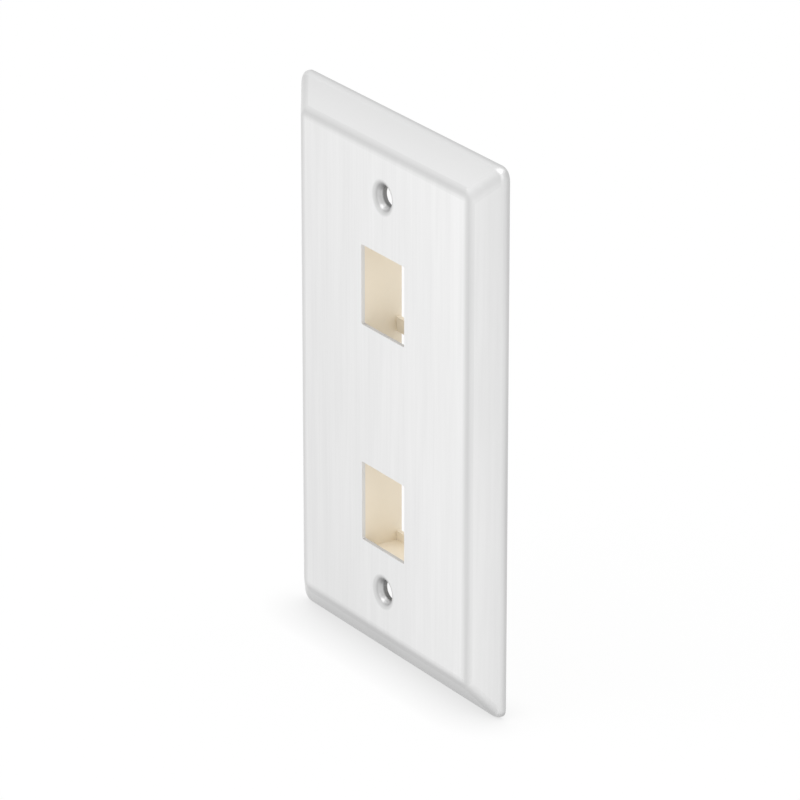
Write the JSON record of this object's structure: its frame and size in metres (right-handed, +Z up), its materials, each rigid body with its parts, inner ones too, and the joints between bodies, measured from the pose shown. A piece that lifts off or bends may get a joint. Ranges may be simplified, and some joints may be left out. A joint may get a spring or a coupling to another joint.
{
  "type": "keystone wall plate",
  "caption": "Single-gang brushed steel wall plate with sloping edges, dimpled screw holes and a moulded carrier behind its keystone windows.",
  "frame": {"origin": "centre of the plate on the wall plane, where the rim's edge rests, midway between the screw holes", "axes": "+Z up along the plate's long side, +X to the right as seen from the room, -Y out of the wall"},
  "size_m": [0.0698, 0.0095, 0.1142],
  "materials": {
    "brushed_plate": "fine vertical brushed satin, pale",
    "ivory_moulding": "moulded ivory, smooth satin",
    "stud_metal": "plated, dull",
    "spring_metal": "tempered spring steel"
  },
  "bodies": {
    "root": {"face_plate": "brushed_plate", "jack_carrier": "ivory_moulding", "weld_stud_upper_left": "stud_metal", "weld_stud_upper_right": "stud_metal", "weld_stud_lower_left": "stud_metal", "weld_stud_lower_right": "stud_metal", "push_retainer_upper_left": "spring_metal", "push_retainer_upper_right": "spring_metal", "push_retainer_lower_left": "spring_metal", "push_retainer_lower_right": "spring_metal"}
  },
  "joints": []
}
